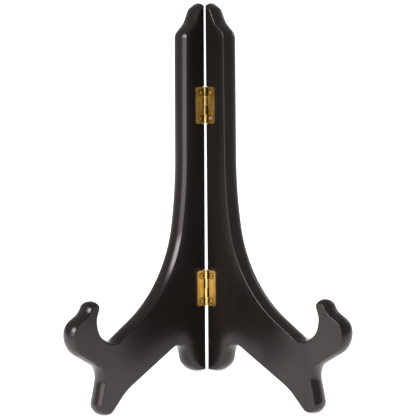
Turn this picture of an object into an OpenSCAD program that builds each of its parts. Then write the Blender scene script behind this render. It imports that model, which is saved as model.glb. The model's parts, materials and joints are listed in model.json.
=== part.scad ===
// Folding wooden plate stand: two mirrored boards joined by two brass butt hinges.
//
// A board is drawn in its own frame. x runs from the pin axis towards the hook, y runs
// through the thickness from the inner face to the outer one, and z runs up the pin axis
// from the underside of the back foot.

/* [Board] */
// Thickness of each board
board_t = 12; // [10:0.5:14]
// Width of the straight spine, from the pin axis to its front edge
spine_w = 19; // [18:0.5:22]
// Height of the finial above the back foot, along the spine
finial_h = 256; // [240:0.5:280]
// Distance of the plate seat from the pin axis
seat_x = 82.5; // [78:0.5:83.5]
// Height of the plate seat
seat_h = 34.5; // [32:0.5:37]
// Reach of the hook in front of the plate seat
hook_l = 35; // [34.5:0.5:39]
// How far the front foot reaches below the back foot
foot_drop = 13.5; // [12:0.5:15]
// Height of the arch between the feet
arch_h = 27; // [24:0.5:29]

/* [Edge moulding] */
// Radius of the eased corner next to each face
ease_r = 0.7; // [0.5:0.1:1.5]
// Angle that the eased corner turns through
ease_angle = 62; // [40:1:66]

/* [Pose] */
// Angle between the opened boards
open_angle = 92; // [60:1:120]
// Angle at which the spine leans back
lean = 12; // [11:0.5:14]

/* [Hinges] */
// Length of each hinge
hinge_l = 25; // [20:1:30]
// Width of a hinge plate, from the pin axis to its outer edge
plate_w = 8.5; // [8:0.5:12]
// Thickness of a hinge plate
plate_t = 0.8; // [0.6:0.1:0.9]
// Height of the upper hinge's middle
upper_z = 187; // [170:1:200]
// Height of the lower hinge's middle
lower_z = 60.5; // [55:0.5:70]
// Radius of the hinge barrel
barrel_r = 1.6; // [1.5:0.1:1.8]
// Radius of the hinge pin
pin_r = 0.8; // [0.7:0.05:0.9]

/* [Screws] */
// Radius of a screw head
head_r = 1.7; // [1.4:0.1:1.8]
// Radius of a screw shank
shank_r = 0.75; // [0.6:0.05:0.9]
// Length of a screw
screw_l = 8; // [6:0.5:10]

/* [Hidden] */

wood_color = "#2b2422";
brass_color = "#c9a24a";
screw_color = "#b08d3c";
$fn = 48;

// Fits and gaps
face_y = 0.6;            // from the pin axis back to the inner face
plate_y = 0.15;          // from the pin axis back to the plate's outer surface
edge_gap_top = 0.15;     // from the pin axis to the board's back edge at the finial
edge_gap_foot = 0.8;     // and at the back foot, because the back edge tapers
pin_clearance = 0.04;    // radial, between pin and knuckle
knuckle_gap = 0.2;       // along the pin, between neighbouring knuckles
relief_r = barrel_r + 0.4;
plate_start = relief_r;
plate_corner_r = 1.6;
knuckles = 4;
screw_x = 4.5;
screw_inset = 3.7;       // from the end of the plate to the screw
head_h = 0.8;
head_rim = 0.1;          // straight edge round a screw head, above its cone
pilot_r = shank_r + 0.02;
slot_w = 0.45;
slot_d = 0.35;
foot_flat = 0.45;        // how much is sanded off under each foot
big = 400;
hook_x = seat_x + hook_l;

// The edge of the moulding, as corners of the crest line: [x, z, radius of the corner].
// It runs from the finial down the front edge and back along the underside. The first and
// the last corner lie past the back edge and are trimmed off.
outline = [
    [-6, finial_h + 4, 0],
    [spine_w - 14, finial_h - 3, 6],
    [spine_w - 9.5, finial_h - 12.5, 12],
    [spine_w - 1, finial_h - 20.5, 8],
    [spine_w, seat_h + 96.5, 280],
    [spine_w + 7, seat_h + 51.5, 87],
    [spine_w + 29, seat_h + 20.5, 80],
    [seat_x, seat_h, 9],
    [seat_x + 12, seat_h + 7.5, 13],
    [seat_x + 13.5, seat_h + 18, 10],
    [seat_x + 9, seat_h + 30, 4],
    [hook_x - 16, seat_h + 29.5, 6],
    [hook_x - 12.5, seat_h + 23, 9],
    [hook_x, seat_h + 16.5, 11.5],
    [hook_x - 0.5, seat_h, 16],
    [seat_x + 8.5, 17.5, 12],
    [seat_x + 14.5, 7 - foot_drop, 7],
    [seat_x + 11.5, 2.5 - foot_drop, 6],
    [seat_x + 4.5, -foot_drop, 7],
    [seat_x - 10, 0.5, 35],
    [spine_w + 1, arch_h, 9],
    [spine_w - 3, 7.5, 10],
    [spine_w - 9.5, 1.5, 13],
    [-8, 0, 0]
];
steps_angle = 9;         // most degrees in one step of a corner
steps_length = 7;        // most millimetres in one step of a corner

function unit(v) = v / norm(v);
function side_of(a, b) = sign(a[0] * b[1] - a[1] * b[0]);
function outward(d) = [-d[1], d[0]];

// Points of one rounded corner, each as [x, z, outward x, outward z]
function corner(before, here, after, r) =
    let (
        d_in = unit(here - before),
        d_out = unit(after - here),
        turn = side_of(d_in, d_out),
        sweep = acos(d_in * d_out),
        steps = ceil(max(sweep / steps_angle, sweep * PI / 180 * r / steps_length)),
        start = here - d_in * r * tan(sweep / 2),
        centre = start + turn * r * outward(d_in)
    )
    [for (i = [0 : steps])
        let (
            a = turn * sweep * i / steps,
            n = [
                outward(d_in)[0] * cos(a) - outward(d_in)[1] * sin(a),
                outward(d_in)[0] * sin(a) + outward(d_in)[1] * cos(a)
            ]
        )
        concat(centre - turn * r * n, n)
    ];

function at(i) = [outline[i][0], outline[i][1]];
last = len(outline) - 1;

// The whole crest line, with the outward direction at each point
crest = concat(
    [concat(at(0), outward(unit(at(1) - at(0))))],
    [for (i = [1 : last - 1]) each corner(at(i - 1), at(i), at(i + 1), outline[i][2])],
    [concat(at(last), outward(unit(at(last) - at(last - 1))))]
);

// The edge's section: an eased corner, one shallow arc across the edge, an eased corner.
// Each entry is [inset from the crest line, depth below the inner face].
crest_r = (board_t / 2 - ease_r * (1 - cos(ease_angle))) / cos(ease_angle);
ease_inset = crest_r * (1 - sin(ease_angle)) + ease_r * sin(ease_angle);
function section_at(a) =
    a <= ease_angle ? [ease_inset - ease_r * sin(a), ease_r * (1 - cos(a))]
    : a < 180 - ease_angle ? [crest_r * (1 - sin(a)), board_t / 2 - crest_r * cos(a)]
    : [ease_inset - ease_r * sin(a), board_t - ease_r * (1 + cos(a))];
ease_steps = 2;
crest_steps = 8;
section = concat(
    [for (i = [0 : ease_steps - 1]) section_at(ease_angle * i / ease_steps)],
    [for (i = [0 : crest_steps])
        section_at(ease_angle + (180 - 2 * ease_angle) * i / crest_steps)],
    [for (i = [1 : ease_steps]) section_at(180 - ease_angle * (1 - i / ease_steps))]
);

rings = [for (s = section)
    [for (p = crest) [p[0] - p[2] * s[0], face_y + s[1], p[1] - p[3] * s[0]]]
];

// Where a point of a board ends up once the stand is open and leaning, before it is moved
// so that it stands on z = 0
turned = 90 - open_angle / 2;
function forward(p) = p[0] * sin(turned) - p[1] * cos(turned);
function raw_y(p) = p[2] * sin(lean) - forward(p) * cos(lean);
function raw_z(p) = p[2] * cos(lean) + forward(p) * sin(lean);
function past(p) = p[0] - edge_gap_top;
kept = concat(
    [for (r = rings, p = r) if (past(p) >= 0) p],
    [for (r = rings, i = [1 : len(r) - 1])
        if (past(r[i - 1]) * past(r[i]) < 0)
            r[i] - (r[i] - r[i - 1]) * past(r[i]) / (r[i][0] - r[i - 1][0])
    ]
);
front_foot_z = min([for (p = kept) if (p[0] > seat_x - 10) raw_z(p)]);
back_foot_z = min([for (p = kept) if (p[0] < spine_w) raw_z(p)]);
ground_z = max(front_foot_z, back_foot_z) + foot_flat;
all_y = [for (p = kept) raw_y(p)];
middle_y = (max(all_y) + min(all_y)) / 2;

// Puts what is drawn in a board's frame where the open, leaning stand has it
module on_right() {
    translate([0, -middle_y, -ground_z])
        rotate([-lean, 0, 0])
            rotate([0, 0, -turned])
                children();
}

module on_left() {
    mirror([1, 0, 0])
        on_right()
            children();
}

// A face is filled with triangles by cutting off one corner of its outline after another,
// at points that stick out and leave no other point of the outline in their triangle
function turn_at(a, b, c) = (b[0] - a[0]) * (c[1] - b[1]) - (b[1] - a[1]) * (c[0] - b[0]);
function covers(t, p) =
    turn_at(t[0], t[1], p) <= 0 && turn_at(t[1], t[2], p) <= 0 && turn_at(t[2], t[0], p) <= 0;
function triangle_at(left, k) =
    let (n = len(left))
    [left[(k + n - 1) % n], left[k % n], left[(k + 1) % n]];
function is_free(pts, left, t) =
    let (corners = [pts[t[0]], pts[t[1]], pts[t[2]]])
    turn_at(corners[0], corners[1], corners[2]) < 0
    && len([for (i = left)
        if (i != t[0] && i != t[1] && i != t[2] && covers(corners, pts[i])) i]) == 0;
function free_corner(pts, left, k) =
    is_free(pts, left, triangle_at(left, k)) ? k % len(left) : free_corner(pts, left, k + 1);
function triangles(pts, left, k = 1) =
    len(left) == 3 ? [left]
    : let (
        cut = free_corner(pts, left, k),
        rest = [for (i = [0 : len(left) - 1]) if (i != cut) left[i]]
    )
    concat([triangle_at(left, cut)], triangles(pts, rest, cut + 1));

// The board before anything is cut from it
module moulded_blank() {
    n = len(crest);
    m = len(rings);
    face = triangles([for (p = rings[0]) [p[0], p[2]]], [for (i = [0 : n - 1]) i]);
    polyhedron(
        points = [for (r = rings) each r],
        faces = concat(
            face,
            [for (t = face) (m - 1) * [n, n, n] + [t[2], t[1], t[0]]],
            [for (k = [0 : m - 2], i = [0 : n - 1])
                each [
                    [k * n + i, (k + 1) * n + (i + 1) % n, k * n + (i + 1) % n],
                    [k * n + i, (k + 1) * n + i, (k + 1) * n + (i + 1) % n]
                ]
            ]
        )
    );
}

// What the tapered back edge trims off
module back_edge_cut() {
    taper = atan((edge_gap_foot - edge_gap_top) / finial_h);
    translate([edge_gap_foot, 0, 0])
        rotate([0, -taper, 0])
            translate([-big / 2, 0, finial_h / 2])
                cube([big, big / 4, big], center = true);
}

// What one hinge needs cut into a board: the bed of its plate, room for the barrel and
// the two pilot holes
module hinge_seat(z) {
    side_room = 0.1;
    barrel_room = 0.4;
    translate([0, plate_y, z - hinge_l / 2 - side_room])
        cube([plate_w + side_room, plate_t, hinge_l + 2 * side_room]);
    translate([0, 0, z])
        cylinder(r = relief_r, h = hinge_l + 2 * barrel_room, center = true);
    screw_places(z)
        cylinder(r = pilot_r, h = screw_l + 0.3);
}

// Screws run from the plate's surface into the board
module screw_places(z) {
    for (end = [-1, 1])
        screw_place(z, end)
            children();
}

module screw_place(z, end) {
    translate([screw_x, plate_y, z + end * (hinge_l / 2 - screw_inset)])
        rotate([-90, 0, 0])
            children();
}

module board() {
    difference() {
        moulded_blank();
        back_edge_cut();
        hinge_seat(upper_z);
        hinge_seat(lower_z);
    }
}

// Everything below the floor
module below_floor() {
    translate([0, 0, -big / 4])
        cube([big, big, big / 2], center = true);
}

module left_board() {
    color(wood_color)
        difference() {
            on_left() board();
            below_floor();
        }
}

module right_board() {
    color(wood_color)
        difference() {
            on_right() board();
            below_floor();
        }
}

// One plate of a hinge with every second knuckle, starting at first
module hinge_plate(z, first) {
    pitch = hinge_l / knuckles;
    difference() {
        translate([0, 0, z - hinge_l / 2]) {
            intersection() {
                translate([plate_start, plate_y, 0])
                    cube([plate_w - plate_start, plate_t, hinge_l]);
                plate_outline();
            }
            for (k = [first : 2 : knuckles - 1])
                translate([0, 0, k * pitch + knuckle_gap / 2])
                    knuckle(pitch - knuckle_gap);
        }
        screw_places(z)
            countersink();
        translate([0, 0, z])
            cylinder(r = pin_r + pin_clearance, h = hinge_l + 1, center = true);
    }
}

// The plate's outline, with its two outer corners rounded
module plate_outline() {
    translate([0, plate_y + plate_t, 0])
        rotate([90, 0, 0])
            linear_extrude(plate_t)
                union() {
                    square([plate_w - plate_corner_r, hinge_l]);
                    translate([0, plate_corner_r])
                        square([plate_w, hinge_l - 2 * plate_corner_r]);
                    for (end = [plate_corner_r, hinge_l - plate_corner_r])
                        translate([plate_w - plate_corner_r, end])
                            circle(plate_corner_r);
                }
}

// One rolled knuckle and the tongue that joins it to its plate
module knuckle(length) {
    tongue_start = pin_r + pin_clearance + 0.3;
    cylinder(r = barrel_r, h = length);
    translate([tongue_start, plate_y, 0])
        cube([plate_start - tongue_start + 0.2, plate_t, length]);
}

module countersink() {
    room = 0.03;
    translate([0, 0, -room])
        cylinder(r = head_r + room, h = head_rim + room);
    translate([0, 0, head_rim])
        cylinder(r1 = head_r + room, r2 = shank_r + room, h = head_h - head_rim);
    cylinder(r = shank_r + room, h = plate_t + 1);
}

// A countersunk screw with a slotted head, its point away from the head
module screw() {
    tip_h = 2;
    difference() {
        union() {
            cylinder(r = head_r, h = head_rim);
            translate([0, 0, head_rim])
                cylinder(r1 = head_r, r2 = shank_r, h = head_h - head_rim);
            cylinder(r = shank_r, h = screw_l - tip_h);
            translate([0, 0, screw_l - tip_h])
                cylinder(r1 = shank_r, r2 = 0.1, h = tip_h);
        }
        translate([0, 0, slot_d / 2 - 0.01])
            cube([2 * head_r + 1, slot_w, slot_d], center = true);
    }
}

// A hinge pin with rounded ends
module pin() {
    end_h = 0.3;
    rotate_extrude()
        polygon([
            [0, -hinge_l / 2 - end_h],
            [pin_r * 0.6, -hinge_l / 2 - end_h],
            [pin_r, -hinge_l / 2],
            [pin_r, hinge_l / 2],
            [pin_r * 0.6, hinge_l / 2 + end_h],
            [0, hinge_l / 2 + end_h]
        ]);
}

module upper_hinge_left_plate() { color(brass_color) on_left() hinge_plate(upper_z, 0); }
module upper_hinge_right_plate() { color(brass_color) on_right() hinge_plate(upper_z, 1); }
module lower_hinge_left_plate() { color(brass_color) on_left() hinge_plate(lower_z, 0); }
module lower_hinge_right_plate() { color(brass_color) on_right() hinge_plate(lower_z, 1); }

module upper_hinge_pin() { color(brass_color) on_right() translate([0, 0, upper_z]) pin(); }
module lower_hinge_pin() { color(brass_color) on_right() translate([0, 0, lower_z]) pin(); }

module upper_left_screw_a() { color(screw_color) on_left() screw_place(upper_z, 1) screw(); }
module upper_left_screw_b() { color(screw_color) on_left() screw_place(upper_z, -1) screw(); }
module upper_right_screw_a() { color(screw_color) on_right() screw_place(upper_z, 1) screw(); }
module upper_right_screw_b() { color(screw_color) on_right() screw_place(upper_z, -1) screw(); }
module lower_left_screw_a() { color(screw_color) on_left() screw_place(lower_z, 1) screw(); }
module lower_left_screw_b() { color(screw_color) on_left() screw_place(lower_z, -1) screw(); }
module lower_right_screw_a() { color(screw_color) on_right() screw_place(lower_z, 1) screw(); }
module lower_right_screw_b() { color(screw_color) on_right() screw_place(lower_z, -1) screw(); }

left_board();
right_board();
upper_hinge_left_plate();
upper_hinge_right_plate();
upper_hinge_pin();
lower_hinge_left_plate();
lower_hinge_right_plate();
lower_hinge_pin();
upper_left_screw_a();
upper_left_screw_b();
upper_right_screw_a();
upper_right_screw_b();
lower_left_screw_a();
lower_left_screw_b();
lower_right_screw_a();
lower_right_screw_b();
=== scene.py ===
"""A folding wooden plate stand: two dark lacquered boards and two small brass hinges.

Lengths are in millimetres where a name has no unit, and MM turns them into metres.
A board's own axes are x from the pin axis towards the hook, y through the thickness from
the inner face to the outer one, and z up the pin axis.
"""
import json
import math

import bmesh
import bpy
from mathutils import Matrix, Vector


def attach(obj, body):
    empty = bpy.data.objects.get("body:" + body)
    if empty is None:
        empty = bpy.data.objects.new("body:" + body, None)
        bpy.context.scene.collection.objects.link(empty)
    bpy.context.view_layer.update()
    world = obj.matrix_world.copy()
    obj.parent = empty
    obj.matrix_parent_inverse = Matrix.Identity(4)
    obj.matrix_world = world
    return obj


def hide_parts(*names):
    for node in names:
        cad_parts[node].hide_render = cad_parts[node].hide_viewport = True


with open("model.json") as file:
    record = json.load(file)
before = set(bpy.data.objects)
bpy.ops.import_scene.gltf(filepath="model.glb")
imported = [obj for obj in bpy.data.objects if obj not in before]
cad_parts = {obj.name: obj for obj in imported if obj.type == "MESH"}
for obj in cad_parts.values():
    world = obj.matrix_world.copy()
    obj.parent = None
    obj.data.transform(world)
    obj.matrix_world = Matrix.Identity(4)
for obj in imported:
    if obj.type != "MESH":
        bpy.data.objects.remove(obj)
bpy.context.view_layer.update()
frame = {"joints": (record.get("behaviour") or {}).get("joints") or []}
MM = 0.001

# ---------------------------------------------------------------- the stand's dimensions
BOARD_T = 12.0
SPINE_W = 19.0
FINIAL_H = 256.0
SEAT_X = 82.5
SEAT_H = 34.5
HOOK_X = 117.5
FOOT_DROP = 13.5
ARCH_H = 27.0
EASE_R = 0.7
EASE_ANGLE = 62.0
FACE_Y = 0.6
EDGE_GAP_TOP = 0.15
EDGE_GAP_FOOT = 0.8

HINGE_L = 25.0
UPPER_Z = 187.0
LOWER_Z = 60.5
PLATE_W = 8.5
PLATE_T = 0.8
PLATE_Y = 0.15
PLATE_CORNER_R = 1.6
BARREL_R = 1.6
PIN_BORE_R = 0.84
KNUCKLES = 4
KNUCKLE_GAP = 0.1
RELIEF_R = BARREL_R + 0.4
SCREW_X = 4.5
SCREW_UP = HINGE_L / 2 - 3.7   # from a hinge's middle to its screws
HEAD_R = 1.7
HEAD_H = 0.8
HEAD_RIM = 0.1
SHANK_R = 0.75
SCREW_L = 8.0

# The open, leaning pose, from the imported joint
FOLD = frame["joints"][0]
AXIS = Vector(FOLD["axis"])
LEAN = math.atan2(AXIS.y, AXIS.z)
PIVOT_H = 120.0
BOARD_ORIGIN = Vector(FOLD["pos_m"]) - AXIS * PIVOT_H * MM
TURNED = math.radians(90 - FOLD["range_deg"][1] / 2)

# Corners of the moulding's crest line: x, z, radius of the corner
OUTLINE = [
    (-6, FINIAL_H + 4, 0),
    (SPINE_W - 14, FINIAL_H - 3, 6),
    (SPINE_W - 9.5, FINIAL_H - 12.5, 12),
    (SPINE_W - 1, FINIAL_H - 20.5, 8),
    (SPINE_W, SEAT_H + 96.5, 280),
    (SPINE_W + 7, SEAT_H + 51.5, 87),
    (SPINE_W + 29, SEAT_H + 20.5, 80),
    (SEAT_X, SEAT_H, 9),
    (SEAT_X + 12, SEAT_H + 7.5, 13),
    (SEAT_X + 13.5, SEAT_H + 18, 10),
    (SEAT_X + 9, SEAT_H + 30, 4),
    (HOOK_X - 16, SEAT_H + 29.5, 6),
    (HOOK_X - 12.5, SEAT_H + 23, 9),
    (HOOK_X, SEAT_H + 16.5, 11.5),
    (HOOK_X - 0.5, SEAT_H, 16),
    (SEAT_X + 8.5, 17.5, 12),
    (SEAT_X + 14.5, 7 - FOOT_DROP, 7),
    (SEAT_X + 11.5, 2.5 - FOOT_DROP, 6),
    (SEAT_X + 4.5, -FOOT_DROP, 7),
    (SEAT_X - 10, 0.5, 35),
    (SPINE_W + 1, ARCH_H, 9),
    (SPINE_W - 3, 7.5, 10),
    (SPINE_W - 9.5, 1.5, 13),
    (-8, 0, 0),
]
STEP_DEGREES = 4.0       # most that one step of a corner turns
STEP_LENGTH = 3.5        # and its greatest length
WITHIN_CAD = 0.06        # finer arcs stand proud of the CAD's, so the crest line is set in


# ---------------------------------------------------------------- mesh helpers
def outward(direction):
    return Vector((-direction.y, direction.x))


def rounded_corner(before, here, after, radius):
    """Points along one rounded corner of the crest line, each with its outward direction."""
    way_in = (here - before).normalized()
    way_out = (after - here).normalized()
    turn = 1 if way_in.x * way_out.y > way_in.y * way_out.x else -1
    sweep = math.acos(way_in.dot(way_out))
    steps = math.ceil(max(math.degrees(sweep) / STEP_DEGREES, sweep * radius / STEP_LENGTH))
    start = here - way_in * radius * math.tan(sweep / 2)
    centre = start + turn * radius * outward(way_in)
    points = []
    for i in range(steps + 1):
        normal = outward(way_in)
        normal.rotate(Matrix.Rotation(turn * sweep * i / steps, 2))
        points.append((centre - turn * radius * normal, normal))
    return points


def crest_line():
    corners = [Vector(c[:2]) for c in OUTLINE]
    points = [(corners[0], outward((corners[1] - corners[0]).normalized()))]
    for i in range(1, len(corners) - 1):
        points += rounded_corner(corners[i - 1], corners[i], corners[i + 1], OUTLINE[i][2])
    points.append((corners[-1], outward((corners[-1] - corners[-2]).normalized())))
    return points


def edge_section():
    """The moulded edge as (inset from the crest line, depth below the inner face) pairs."""
    ease_steps = 5
    crest_steps = 18
    flat_margin = 0.5            # a strip of each flat face, which keeps its shading flat
    ease = math.radians(EASE_ANGLE)
    crest_r = (BOARD_T / 2 - EASE_R * (1 - math.cos(ease))) / math.cos(ease)
    inset = crest_r * (1 - math.sin(ease)) + EASE_R * math.sin(ease)
    half = [(inset + flat_margin, 0.0)]
    for i in range(ease_steps):
        a = ease * i / ease_steps
        half.append((inset - EASE_R * math.sin(a), EASE_R * (1 - math.cos(a))))
    arc = []
    for i in range(crest_steps + 1):
        a = ease + (math.pi - 2 * ease) * i / crest_steps
        arc.append((crest_r * (1 - math.sin(a)), BOARD_T / 2 - crest_r * math.cos(a)))
    return half + arc + [(i, BOARD_T - d) for i, d in reversed(half)]


def new_object(name, bm):
    mesh = bpy.data.meshes.new(name)
    bmesh.ops.recalc_face_normals(bm, faces=bm.faces)
    bm.to_mesh(mesh)
    bm.free()
    obj = bpy.data.objects.new(name, mesh)
    bpy.context.scene.collection.objects.link(obj)
    return obj


def apply_modifiers(obj):
    depsgraph = bpy.context.evaluated_depsgraph_get()
    mesh = bpy.data.meshes.new_from_object(obj.evaluated_get(depsgraph))
    obj.modifiers.clear()
    obj.data = mesh


def combine(obj, other, operation):
    """Cuts other from obj, or joins it on, and removes other."""
    modifier = obj.modifiers.new("combine", "BOOLEAN")
    modifier.operation = operation
    modifier.object = other
    modifier.solver = "EXACT"
    apply_modifiers(obj)
    bpy.data.objects.remove(other)


def finish_edges(obj, width, sharp_degrees=30):
    """Rounds the sharp edges a little and shades the rest smoothly."""
    bevel = obj.modifiers.new("bevel", "BEVEL")
    bevel.width = width * MM
    bevel.segments = 2
    bevel.limit_method = "ANGLE"
    bevel.angle_limit = math.radians(sharp_degrees)
    bevel.use_clamp_overlap = True
    bevel.miter_outer = "MITER_ARC"
    apply_modifiers(obj)
    obj.data.shade_smooth()
    obj.data.set_sharp_from_angle(angle=math.radians(sharp_degrees + 10))
    normals = obj.modifiers.new("normals", "WEIGHTED_NORMAL")
    normals.keep_sharp = True
    apply_modifiers(obj)


def add_box(bm, low, high):
    size = [h - l for l, h in zip(low, high)]
    middle = [(h + l) / 2 for l, h in zip(low, high)]
    scale = Matrix.Diagonal([s * MM for s in size] + [1])
    place = Matrix.Translation(Vector(middle) * MM) @ scale
    bmesh.ops.create_cube(bm, size=1, matrix=place)


def add_round(bm, profile, place, sides=48):
    """A closed solid turned from (radius, height) pairs, about the local z axis."""
    rings = []
    for radius, height in profile:
        if radius == 0:
            rings.append([bm.verts.new(place @ Vector((0, 0, height * MM)))])
            continue
        angles = [2 * math.pi * i / sides for i in range(sides)]
        points = [Vector((radius * math.cos(a), radius * math.sin(a), height)) for a in angles]
        rings.append([bm.verts.new(place @ (point * MM)) for point in points])
    for low, high in zip(rings, rings[1:]):
        for i in range(sides):
            j = (i + 1) % sides
            corners = [low[i % len(low)], low[j % len(low)],
                       high[j % len(high)], high[i % len(high)]]
            bm.faces.new(list(dict.fromkeys(corners)))
    for ring in (rings[0], rings[-1]):
        if len(ring) > 1:
            bm.faces.new(ring)


# ---------------------------------------------------------------- pieces, in a board's axes
def mirrored(bm, side):
    """Mirrors what is drawn for the right side when it is for the left side."""
    if side == "left":
        bmesh.ops.scale(bm, vec=(-1, 1, 1), verts=bm.verts)


def stand_up(obj, side):
    """Puts a piece drawn in a board's axes where the open stand has it. The places that it
    was drawn at stay in the attribute board_place, which the materials follow."""
    places = obj.data.attributes.new("board_place", "FLOAT_VECTOR", "POINT")
    places.data.foreach_set("vector", [c for v in obj.data.vertices for c in v.co])
    turn = -TURNED if side == "right" else TURNED
    obj.data.transform(Matrix.Translation(BOARD_ORIGIN) @ Matrix.Rotation(-LEAN, 4, "X")
                       @ Matrix.Rotation(turn, 4, "Z"))
    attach(obj, f"{side}_side")


def cut_away(bm, point, normal):
    """Removes what lies beyond a plane and closes the cut."""
    geometry = list(bm.verts) + list(bm.edges) + list(bm.faces)
    cut = bmesh.ops.bisect_plane(bm, geom=geometry, plane_co=point, plane_no=normal,
                                 clear_outer=True)
    edges = [e for e in cut["geom_cut"] if isinstance(e, bmesh.types.BMEdge)]
    bmesh.ops.edgeloop_fill(bm, edges=edges)


def hinge_beds(side):
    """What the two hinges need cut into a board."""
    side_room = 0.1
    barrel_room = 0.25
    past = 3                     # how far a cutter reaches beyond the board
    bm = bmesh.new()
    for z in (UPPER_Z, LOWER_Z):
        half = HINGE_L / 2 + side_room
        add_box(bm, (-past, -past, z - half), (PLATE_W + side_room, PLATE_Y + PLATE_T, z + half))
    mirrored(bm, side)
    beds = new_object("beds", bm)
    bm = bmesh.new()
    for z in (UPPER_Z, LOWER_Z):
        half = HINGE_L / 2 + barrel_room
        add_round(bm, [(RELIEF_R, z - half), (RELIEF_R, z + half)], Matrix.Identity(4))
    return beds, new_object("reliefs", bm)


def board(side):
    bm = bmesh.new()
    crest = crest_line()
    rings = []
    for inset, depth in edge_section():
        ring = []
        for point, normal in crest:
            at = point - normal * (inset + WITHIN_CAD)
            ring.append(bm.verts.new(Vector((at.x, FACE_Y + depth, at.y)) * MM))
        rings.append(ring)
    for low, high in zip(rings, rings[1:]):
        for i in range(len(crest)):
            j = (i + 1) % len(crest)
            bm.faces.new([low[i], low[j], high[j], high[i]])
    bm.faces.new(rings[0])
    bm.faces.new(rings[-1])
    bmesh.ops.recalc_face_normals(bm, faces=bm.faces)

    taper = math.atan((EDGE_GAP_FOOT - EDGE_GAP_TOP) / FINIAL_H)
    back_edge = Vector((EDGE_GAP_FOOT * MM, 0, 0))
    cut_away(bm, back_edge, Vector((-math.cos(taper), 0, -math.sin(taper))))
    to_board = Matrix.Rotation(TURNED, 3, "Z") @ Matrix.Rotation(LEAN, 3, "X")
    cut_away(bm, to_board @ -BOARD_ORIGIN, to_board @ Vector((0, 0, -1)))
    mirrored(bm, side)
    obj = new_object(f"{side}_carved_board", bm)
    for cutter in hinge_beds(side):
        combine(obj, cutter, "DIFFERENCE")
    finish_edges(obj, 0.08)
    return obj


def plate_outline(first):
    """Outline of one hinge plate in x and z: it reaches under its own knuckles only."""
    pitch = HINGE_L / KNUCKLES
    tongue_x = 1.1
    steps = 8
    centre_x = PLATE_W - PLATE_CORNER_R
    points = []
    for centre_z, start in ((PLATE_CORNER_R, -90), (HINGE_L - PLATE_CORNER_R, 0)):
        for i in range(steps + 1):
            a = math.radians(start + 90 * i / steps)
            points.append((centre_x + PLATE_CORNER_R * math.cos(a),
                           centre_z + PLATE_CORNER_R * math.sin(a)))
    for k in reversed(range(KNUCKLES)):
        own = k % 2 == first
        gap = KNUCKLE_GAP / 2
        x = tongue_x if own else RELIEF_R
        top = (k + 1) * pitch - (gap if own else -gap)
        foot = k * pitch + (gap if own else -gap)
        points.append((x, min(top, HINGE_L)))
        points.append((x, max(foot, 0)))
    return points


def hinge_plate(name, side, z):
    first = 1 if side == "right" else 0
    pitch = HINGE_L / KNUCKLES
    base = z - HINGE_L / 2
    bm = bmesh.new()
    outline = plate_outline(first)
    front = [bm.verts.new(Vector((x, PLATE_Y, base + h)) * MM) for x, h in outline]
    back = [bm.verts.new(Vector((x, PLATE_Y + PLATE_T, base + h)) * MM) for x, h in outline]
    bm.faces.new(front)
    bm.faces.new(back)
    for i in range(len(outline)):
        j = (i + 1) % len(outline)
        bm.faces.new([front[i], front[j], back[j], back[i]])
    mirrored(bm, side)
    obj = new_object(name, bm)

    bm = bmesh.new()
    for k in range(first, KNUCKLES, 2):
        low = base + k * pitch + KNUCKLE_GAP / 2
        high = base + (k + 1) * pitch - KNUCKLE_GAP / 2
        add_round(bm, [(BARREL_R, low), (BARREL_R, high)], Matrix.Identity(4))
    combine(obj, new_object("knuckles", bm), "UNION")

    bm = bmesh.new()
    bore = [(PIN_BORE_R, base - 1), (PIN_BORE_R, base + HINGE_L + 1)]
    add_round(bm, bore, Matrix.Identity(4))
    combine(obj, new_object("bore", bm), "DIFFERENCE")

    bm = bmesh.new()
    room = 0.03
    past = 0.5                   # how far a cutter reaches beyond the plate
    for end in (-1, 1):
        add_round(bm, [(HEAD_R + room, -past), (HEAD_R + room, HEAD_RIM),
                       (SHANK_R + room, HEAD_H), (SHANK_R + room, PLATE_T + past)],
                  screw_place(z, end))
    mirrored(bm, side)
    combine(obj, new_object("countersinks", bm), "DIFFERENCE")
    finish_edges(obj, 0.1)
    return obj


def screw_place(z, end, angle=0.0):
    return (Matrix.Translation(Vector((SCREW_X, PLATE_Y, z + end * SCREW_UP)) * MM)
            @ Matrix.Rotation(math.radians(-90), 4, "X")
            @ Matrix.Rotation(math.radians(angle), 4, "Z"))


def screw(name, side, z, end, angle):
    """A countersunk screw with a faintly domed, slotted head."""
    dome = 0.1
    tip_h = 2
    bm = bmesh.new()
    profile = [(0, -dome), (0.45 * HEAD_R, -0.8 * dome), (0.8 * HEAD_R, -0.35 * dome),
               (HEAD_R, 0), (HEAD_R, HEAD_RIM), (SHANK_R, HEAD_H), (SHANK_R, SCREW_L - tip_h),
               (0, SCREW_L)]
    place = screw_place(z, end, angle)
    add_round(bm, profile, place)
    mirrored(bm, side)
    obj = new_object(name, bm)

    slot_w = 0.5
    slot_d = 0.38
    bm = bmesh.new()
    add_box(bm, (-HEAD_R - 1, -slot_w / 2, -1), (HEAD_R + 1, slot_w / 2, slot_d))
    bmesh.ops.transform(bm, matrix=place, verts=bm.verts)
    mirrored(bm, side)
    combine(obj, new_object("slot", bm), "DIFFERENCE")
    finish_edges(obj, 0.06, sharp_degrees=35)
    return obj


def hinge_pin(name, z):
    """A pin with rounded ends, which show at the ends of the knuckles."""
    radius = 0.8
    end_h = 0.15
    half = HINGE_L / 2
    bm = bmesh.new()
    angles = [math.radians(15 * i) for i in range(6)]
    end = [(radius * math.cos(a), half + end_h * math.sin(a)) for a in angles]
    end.append((0, half + end_h))
    profile = [(r, -h) for r, h in reversed(end)] + end
    add_round(bm, profile, Matrix.Translation((0, 0, z * MM)), sides=32)
    obj = new_object(name, bm)
    obj.data.shade_smooth()
    return obj


# ---------------------------------------------------------------- materials
RAMP_REACH = 10.0        # millimetres where a ramp's position is 1

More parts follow.
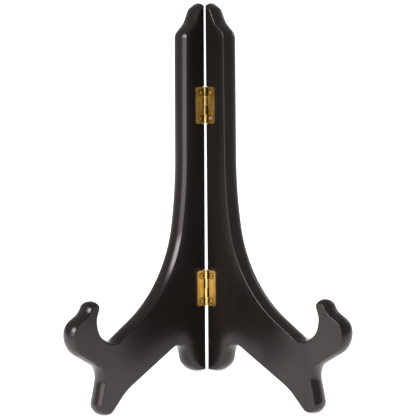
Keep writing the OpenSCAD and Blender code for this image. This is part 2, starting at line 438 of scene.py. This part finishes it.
# Brass across a hinge, as factors on its colour: the barrel at full tone, then painted shade,
# darkest in the groove beside the barrel and fading out across the sheet to full tone at its outer
# edge
GAP_SHADE = (0.16, 0.11, 0.05)
ACROSS_SHADE_STOPS = [(0.0, (1, 1, 1)), (0.13, (1, 1, 1)), (0.155, GAP_SHADE), (0.22, GAP_SHADE),
                (0.29, (0.85, 0.83, 0.78)), (0.84, (0.95, 0.95, 0.95)), (0.93, (1, 1, 1))]
# and out from the middle of a screw: painted shade at the middle of its head, the head's rim at
# full tone, painted shade in the gap round it, fading out over the sheet
SCREW_SHADE_STOPS = [(0.0, (0.62, 0.52, 0.38)), (0.05, (0.75, 0.66, 0.5)), (0.09, (1, 1, 1)),
              (0.14, (1, 1, 1)), (0.158, GAP_SHADE), (0.188, GAP_SHADE), (0.24, (0.9, 0.88, 0.84)),
              (0.3, (1, 1, 1))]


class Nodes:
    """A short way to build one node material."""

    def __init__(self, name):
        self.material = bpy.data.materials.new(name)
        self.material.use_nodes = True
        self.tree = self.material.node_tree
        self.shader = self.tree.nodes["Principled BSDF"]

    def add(self, kind, **settings):
        node = self.tree.nodes.new("ShaderNode" + kind)
        for key, value in settings.items():
            if key in node.inputs:
                node.inputs[key].default_value = value
            else:
                setattr(node, key, value)
        return node

    def link(self, out_node, out_name, in_node, in_name):
        self.tree.links.new(out_node.outputs[out_name], in_node.inputs[in_name])

    def noise(self, scale, detail=3.0, roughness=0.5, distortion=0.0):
        """Noise whose three scales are in cells per metre along the board's x, y and z."""
        place = self.add("Attribute", attribute_name="board_place")
        mapping = self.add("Mapping", Scale=scale)
        noise = self.add("TexNoise", Scale=1.0, Detail=detail, Roughness=roughness,
                         Distortion=distortion)
        self.link(place, "Vector", mapping, "Vector")
        self.link(mapping, "Vector", noise, "Vector")
        return noise

    def ramp(self, source, stops):
        """Colours along a noise node or along the outcome of a sum."""
        ramp = self.add("ValToRGB")
        elements = ramp.color_ramp.elements
        while len(elements) < len(stops):
            elements.new(0.5)
        for element, (at, colour) in zip(elements, stops):
            element.position = at
            element.color = (*colour, 1)
        if isinstance(source, bpy.types.NodeSocket):
            self.tree.links.new(source, ramp.inputs["Fac"])
        else:
            self.link(source, "Fac", ramp, "Fac")
        return ramp

    def multiplied(self, first, second, amount=1.0):
        """The first colour darkened by the second one, which is a ramp."""
        node = self.add("Mix", data_type="RGBA", blend_type="MULTIPLY")
        node.inputs["Factor"].default_value = amount
        self.link(first, "Result" if "Result" in first.outputs else "Color", node, "A")
        self.link(second, "Color", node, "B")
        return node

    def maths(self, operation, first, second=0.0):
        """One sum on numbers or on the outcomes of other sums."""
        node = self.add("Math", operation=operation)
        for socket, value in zip(node.inputs, (first, second)):
            if isinstance(value, (int, float)):
                socket.default_value = value
            else:
                self.tree.links.new(value, socket)
        return node.outputs[0]

    def board_axes(self):
        """The place on the board in millimetres, as separate x, y and z sockets."""
        place = self.add("Attribute", attribute_name="board_place")
        parts = self.add("SeparateXYZ")
        self.link(place, "Vector", parts, "Vector")
        return [self.maths("MULTIPLY", parts.outputs[axis], 1000.0) for axis in "XYZ"]

    def across_hinge(self):
        """Distance from the pin axis, where 1 is RAMP_REACH millimetres."""
        x, _, _ = self.board_axes()
        return self.maths("DIVIDE", self.maths("ABSOLUTE", x), RAMP_REACH)

    def from_screw(self):
        """Distance from the nearest screw's middle, where 1 is RAMP_REACH millimetres."""
        x, _, z = self.board_axes()
        aside = self.maths("SUBTRACT", self.maths("ABSOLUTE", x), SCREW_X)
        upper = self.maths("ABSOLUTE", self.maths("SUBTRACT", z, UPPER_Z))
        lower = self.maths("ABSOLUTE", self.maths("SUBTRACT", z, LOWER_Z))
        along = self.maths("SUBTRACT", self.maths("MINIMUM", upper, lower), SCREW_UP)
        squares = self.maths("ADD", self.maths("POWER", aside, 2.0),
                             self.maths("MULTIPLY", along, along))
        return self.maths("DIVIDE", self.maths("SQRT", squares), RAMP_REACH)

    def spread(self, source, low, high):
        """A noise's usual range, 0.25 to 0.75, spread from low to high."""
        node = self.add("MapRange")
        node.inputs["From Min"].default_value = 0.25
        node.inputs["From Max"].default_value = 0.75
        node.inputs["To Min"].default_value = low
        node.inputs["To Max"].default_value = high
        self.link(source, "Fac", node, "Value")
        return node

    def bump(self, source, distance, strength, after=None):
        """Bumps of a distance in metres, on top of those from after."""
        node = self.add("Bump", Strength=strength, Distance=distance)
        self.link(source, "Fac", node, "Height")
        if after:
            self.link(after, "Normal", node, "Normal")
        return node


def lacquered_wood():
    """Near-black espresso stain under a satin lacquer, with the grain faintly telegraphed."""
    m = Nodes("lacquered_wood")
    figure = m.noise((120, 120, 7), detail=4, roughness=0.6, distortion=0.4)
    pores = m.noise((1900, 1900, 55), detail=2)
    peel = m.noise((520, 520, 520), detail=2)
    cloud = m.noise((28, 28, 28), detail=2)
    colour = m.ramp(figure, [(0.3, (0.0050, 0.0038, 0.0028)), (0.52, (0.0075, 0.0056, 0.0042)),
                             (0.75, (0.0110, 0.0080, 0.0060))])
    m.link(colour, "Color", m.shader, "Base Color")
    roughness = m.spread(cloud, 0.19, 0.25)
    m.link(roughness, "Result", m.shader, "Roughness")
    grain = m.bump(pores, 0.00002, strength=0.35)
    waves = m.bump(figure, 0.00012, strength=0.2, after=grain)
    skin = m.bump(peel, 0.00002, strength=0.5, after=waves)
    m.link(skin, "Normal", m.shader, "Normal")
    m.shader.inputs["IOR"].default_value = 1.46
    m.shader.inputs["Specular Tint"].default_value = (1.0, 0.86, 0.89, 1)
    return m.material


def brass(name, tone, low, high, tarnish=0.7):
    """Brass sheet with fine streaks along the hinge and tarnish, with painted shade in the groove
    beside the barrel, round each screw and at the middle of each screw head.
    """
    m = Nodes(name)
    streaks = m.noise((1500, 1500, 25), detail=3)
    clouds = m.noise((260, 260, 90), detail=3, roughness=0.6)
    light = m.ramp(streaks, [(0.3, [0.76 * c for c in tone]), (0.5, tone),
                             (0.72, [min(1, 1.15 * c) for c in tone])])
    shade = m.ramp(clouds, [(0.35, (0.60, 0.50, 0.34)), (0.58, (1, 1, 1))])
    aged = m.multiplied(light, shade, tarnish)
    # painted shade across the hinge: darkest in the groove beside the barrel, fading out over the
    # sheet
    across = m.ramp(m.across_hinge(), ACROSS_SHADE_STOPS)
    groove_shaded = m.multiplied(aged, across)
    # painted shade round each screw and at the middle of each screw head
    rings = m.ramp(m.from_screw(), SCREW_SHADE_STOPS)
    coloured = m.multiplied(groove_shaded, rings)
    m.link(coloured, "Result", m.shader, "Base Color")
    m.shader.inputs["Metallic"].default_value = 1.0
    roughness = m.spread(streaks, low, high)
    m.link(roughness, "Result", m.shader, "Roughness")
    brushed = m.bump(streaks, 0.00002, strength=0.5)
    m.link(brushed, "Normal", m.shader, "Normal")
    return m.material


def pale_floor():
    """White paper with a painted glow, brightest where the stand is and dimmer to its left and
    right.
    """
    m = Nodes("pale_floor")
    m.shader.inputs["Base Color"].default_value = (0.92, 0.92, 0.92, 1)
    m.shader.inputs["Roughness"].default_value = 0.9
    m.shader.inputs["Specular IOR Level"].default_value = 0.1
    m.shader.inputs["Emission Color"].default_value = (1, 1, 1, 1)
    glow = m.add("Attribute", attribute_name="glow")
    m.link(glow, "Fac", m.shader, "Emission Strength")
    return m.material


WOOD = lacquered_wood()
PLATE_BRASS = brass("brass", (0.84, 0.65, 0.27), 0.26, 0.38)
# painted shade: a darker copy of the plate brass, for the upper right plate
SHADED_BRASS = brass("shaded_brass", (0.36, 0.26, 0.10), 0.30, 0.42, tarnish=1.0)
SCREW_BRASS = brass("brass_screw", (0.88, 0.68, 0.36), 0.16, 0.26, tarnish=0.4)


def dress(obj, material):
    obj.data.materials.clear()
    obj.data.materials.append(material)


# ---------------------------------------------------------------- the stand
for side in ("left", "right"):
    piece = board(side)
    dress(piece, WOOD)
    stand_up(piece, side)
    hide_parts(f"{side}_board")

# Each screw's slot stopped at its own angle when it was driven home
SLOT_ANGLES = {("upper", "left"): (38, 112), ("upper", "right"): (-24, 65),
               ("lower", "left"): (82, 20), ("lower", "right"): (-50, 9)}
for hinge, z in (("upper", UPPER_Z), ("lower", LOWER_Z)):
    for side in ("left", "right"):
        piece = hinge_plate(f"{hinge}_{side}_leaf", side, z)
        # the upper right plate takes the darker brass copy, which is painted shade
        shaded_plate = (hinge, side) == ("upper", "right")
        dress(piece, SHADED_BRASS if shaded_plate else PLATE_BRASS)
        stand_up(piece, side)
        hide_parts(f"{hinge}_hinge_{side}_plate")
        for letter, end, angle in zip("ab", (1, -1), SLOT_ANGLES[hinge, side]):
            piece = screw(f"{hinge}_{side}_slotted_screw_{letter}", side, z, end, angle)
            dress(piece, SCREW_BRASS)
            stand_up(piece, side)
            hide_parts(f"{hinge}_{side}_screw_{letter}")
    piece = hinge_pin(f"{hinge}_turned_pin", z)
    dress(piece, PLATE_BRASS)
    stand_up(piece, "right")
    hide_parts(f"{hinge}_hinge_pin")


# ---------------------------------------------------------------- floor, light and camera
def make_floor():
    """A white sweep that glows with painted light, strongest round the stand, so that no shadow
    shows on it.
    """
    half = 3.0                           # in metres, as are all lengths here
    near, far = 0.8, 0.05                # glow in the middle, and to the left and right
    fade_width = 0.28
    bm = bmesh.new()
    bmesh.ops.create_grid(bm, x_segments=120, y_segments=60, size=half)
    obj = new_object("floor", bm)
    glow = obj.data.attributes.new("glow", "FLOAT", "POINT")
    for i, vertex in enumerate(obj.data.vertices):
        x, y, _ = vertex.co
        reach = 0.14 + 0.18 * max(y, 0)  # the bright strip widens to the back
        fade = min(max((abs(x) - reach) / fade_width, 0), 1)
        glow.data[i].value = near + (far - near) * fade * fade * (3 - 2 * fade)
    obj.data.materials.append(pale_floor())


def soft_light(name, azimuth, elevation, distance, size, power):
    """An area light that faces the stand. Azimuth 0 is in front of it and 90 is to its right,
    in degrees. Distance and size are in metres, and power is in watts."""
    data = bpy.data.lights.new(name, "AREA")
    data.shape = "RECTANGLE"
    data.size, data.size_y = size
    data.energy = power
    obj = bpy.data.objects.new(name, data)
    a, e = math.radians(azimuth), math.radians(elevation)
    target = Vector((0, 0, 0.12))
    way = Vector((math.sin(a) * math.cos(e), -math.cos(a) * math.cos(e), math.sin(e)))
    obj.location = target + way * distance
    obj.rotation_euler = way.to_track_quat("Z", "Y").to_euler()
    bpy.context.scene.collection.objects.link(obj)


def white_world(strength):
    world = bpy.data.worlds.new("world")
    world.use_nodes = True
    background = world.node_tree.nodes["Background"]
    background.inputs["Color"].default_value = (1, 1, 1, 1)
    background.inputs["Strength"].default_value = strength
    bpy.context.scene.world = world


def make_camera():
    """The camera faces the hollow side, from a little above and to the left of its middle."""
    look_at_h = 115.5            # up the pin axis
    above = math.radians(6.6)    # over the boards' horizontal
    aside = math.radians(0.71)
    roll = math.radians(-0.366)
    distance = 758.0
    focal = 94.91
    sensor = 36.0
    shift = (0.0050, 0.0028)
    up_axis = AXIS
    front = Vector((0, -AXIS.z, AXIS.y))
    across = Vector((1, 0, 0))
    back = (-math.sin(aside) * math.cos(above) * across + math.cos(aside) * math.cos(above) * front
            + math.sin(above) * up_axis)
    right = math.cos(aside) * across + math.sin(aside) * front
    up = back.cross(right)
    right = math.cos(roll) * right + math.sin(roll) * up
    up = back.cross(right)
    data = bpy.data.cameras.new("camera")
    data.sensor_width = sensor
    data.lens = focal
    data.shift_x, data.shift_y = shift
    obj = bpy.data.objects.new("camera", data)
    spin = Matrix((right, up, back)).transposed().to_4x4()
    place = BOARD_ORIGIN + (up_axis * look_at_h + back * distance) * MM
    obj.matrix_world = Matrix.Translation(place) @ spin
    bpy.context.scene.collection.objects.link(obj)
    bpy.context.scene.camera = obj


make_floor()
white_world(0.38)
soft_light("key", -48, 34, 1.2, (0.8, 0.5), 17)
soft_light("front", 0, 7, 1.2, (0.5, 0.25), 1.3)
soft_light("low", -47, 9, 1.2, (0.8, 0.3), 3.0)
soft_light("rim", 135, 12, 1.4, (0.6, 0.4), 0.7)
make_camera()
bpy.context.scene.view_settings.view_transform = "Standard"
